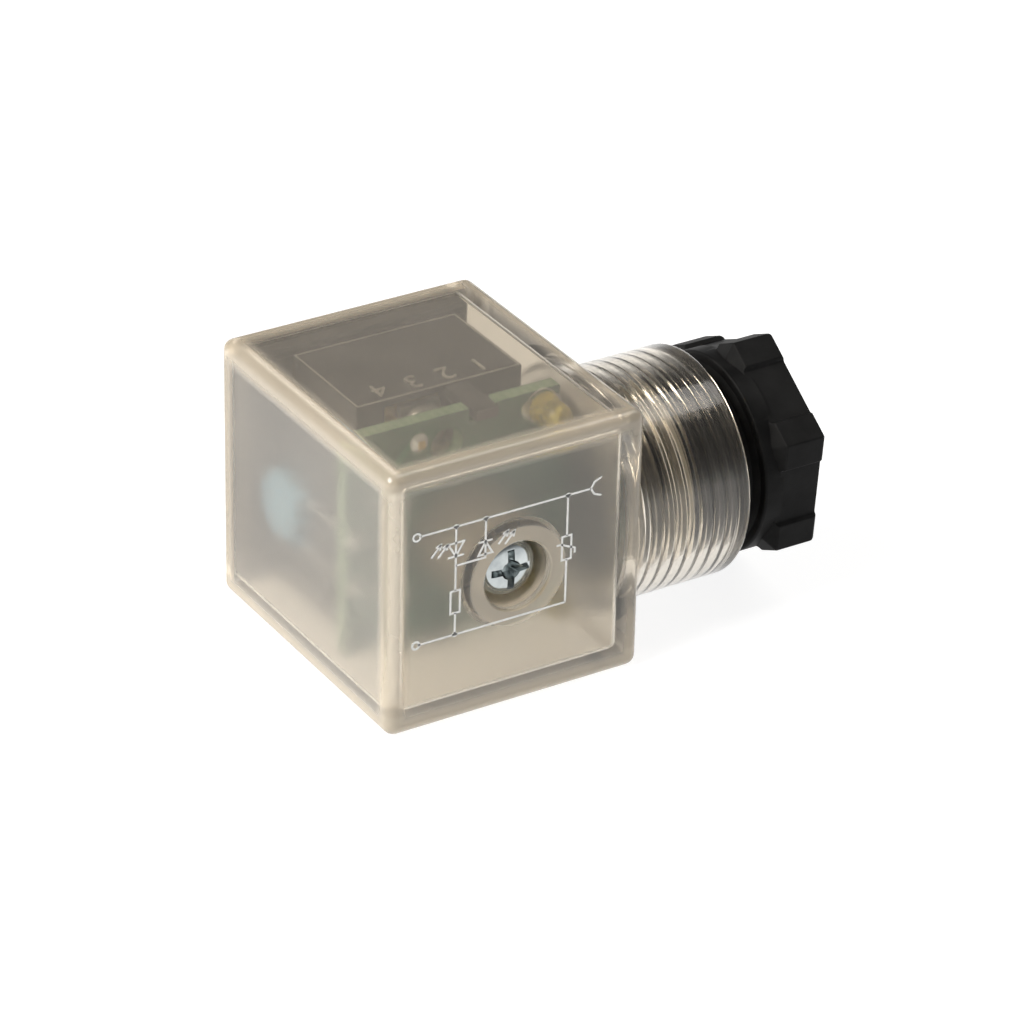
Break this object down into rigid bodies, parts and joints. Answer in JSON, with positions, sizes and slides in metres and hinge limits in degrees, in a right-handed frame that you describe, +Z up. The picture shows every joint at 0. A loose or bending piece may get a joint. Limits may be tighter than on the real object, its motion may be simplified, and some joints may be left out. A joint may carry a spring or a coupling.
{
  "type": "solenoid valve connector",
  "caption": "Form A cable connector for a solenoid valve's coil: hazy housing, indicator board, contact insert, fixing screw and cable gland nut.",
  "frame": {"origin": "on the bottom side, under the fixing screw's axis, halfway between the screw face and the contact rim", "axes": "+X along the cable gland, towards its nut; +Y towards the contact face; +Z up, as it lies on one flat side"},
  "size_m": [0.0484, 0.0383, 0.0275],
  "materials": {
    "housing_plastic": "hazy see-through moulding, slightly matte",
    "seal_rubber": "matte",
    "washer_plastic": "plain",
    "nut_plastic": "semi-matte black moulding",
    "zinc_plate": "bright zinc plate",
    "ring_rubber": "matte",
    "insert_plastic": "dark moulding",
    "gasket_rubber": "matte",
    "contact_brass": "stamped and bent",
    "terminal_plate": "nickel plate",
    "board_laminate": "green solder mask on glass laminate",
    "led_resin": "tinted clear resin",
    "varistor_coating": "dipped coating",
    "resistor_coating": "lacquer"
  },
  "bodies": {
    "housing": {"housing": "housing_plastic", "gland_seal": "seal_rubber"},
    "insert": {"contact_insert": "insert_plastic", "contact_1": "contact_brass", "contact_2": "contact_brass", "earth_contact": "contact_brass", "circuit_board": "board_laminate", "led_1": "led_resin", "led_2": "led_resin", "varistor": "varistor_coating", "resistor": "resistor_coating"},
    "gasket": {"profile_gasket": "gasket_rubber"},
    "gland_washer": {"gland_washer": "washer_plastic"},
    "gland_nut": {"gland_nut": "nut_plastic"},
    "screw_seal": {"screw_seal_ring": "ring_rubber"},
    "fixing_screw": {"fixing_screw": "zinc_plate"},
    "clamp_1": {"clamp_plate_1": "terminal_plate"},
    "terminal_screw_1": {"terminal_screw_1": "terminal_plate"},
    "clamp_2": {"clamp_plate_2": "terminal_plate"},
    "terminal_screw_2": {"terminal_screw_2": "terminal_plate"},
    "clamp_earth": {"clamp_plate_earth": "terminal_plate"},
    "terminal_screw_earth": {"terminal_screw_earth": "terminal_plate"}
  },
  "joints": [
    {"name": "insert_slide", "type": "slide", "parent": "housing", "child": "insert", "axis": [0, 1, 0], "range_m": [0, 0.028]},
    {"name": "gasket_slide", "type": "slide", "parent": "insert", "child": "gasket", "axis": [0, 1, 0], "range_m": [0, 0.008]},
    {"name": "gland_washer_slide", "type": "slide", "parent": "housing", "child": "gland_washer", "axis": [1, 0, 0], "range_m": [-0.0018, 0.00564]},
    {"name": "gland_nut_turn", "type": "hinge", "parent": "gland_washer", "child": "gland_nut", "pos_m": [0.03, -0.0047, 0.01375], "axis": [1, 0, 0], "range_deg": [-460, 1441]},
    {"name": "screw_seal_slide", "type": "slide", "parent": "housing", "child": "screw_seal", "axis": [0, -1, 0], "range_m": [0, 0.006]},
    {"name": "fixing_screw_turn", "type": "hinge", "parent": "screw_seal", "child": "fixing_screw", "pos_m": [0, -0.0149, 0.01375], "axis": [0, -1, 0], "range_deg": [0, 4321]},
    {"name": "clamp_1_slide", "type": "slide", "parent": "insert", "child": "clamp_1", "axis": [0, -1, 0], "range_m": [0, 0.0014]},
    {"name": "terminal_1_turn", "type": "hinge", "parent": "clamp_1", "child": "terminal_screw_1", "pos_m": [-0.0013, -0.001, 0.02145], "axis": [0, -1, 0], "range_deg": [0, 1009]},
    {"name": "clamp_2_slide", "type": "slide", "parent": "insert", "child": "clamp_2", "axis": [0, -1, 0], "range_m": [0, 0.0014]},
    {"name": "terminal_2_turn", "type": "hinge", "parent": "clamp_2", "child": "terminal_screw_2", "pos_m": [0.0013, -0.001, 0.00605], "axis": [0, -1, 0], "range_deg": [0, 1009]},
    {"name": "clamp_earth_slide", "type": "slide", "parent": "insert", "child": "clamp_earth", "axis": [0, -1, 0], "range_m": [0, 0.0014]},
    {"name": "terminal_earth_turn", "type": "hinge", "parent": "clamp_earth", "child": "terminal_screw_earth", "pos_m": [0.0077, -0.001, 0.01505], "axis": [0, -1, 0], "range_deg": [0, 1009]}
  ],
  "couplings": [
    {"joint": "gland_nut_turn", "follows": "gland_washer_slide", "rad_per_m": 4453},
    {"joint": "fixing_screw_turn", "follows": "screw_seal_slide", "rad_per_m": 12566},
    {"joint": "terminal_1_turn", "follows": "clamp_1_slide", "rad_per_m": 12566},
    {"joint": "terminal_2_turn", "follows": "clamp_2_slide", "rad_per_m": 12566},
    {"joint": "terminal_earth_turn", "follows": "clamp_earth_slide", "rad_per_m": 12566}
  ]
}
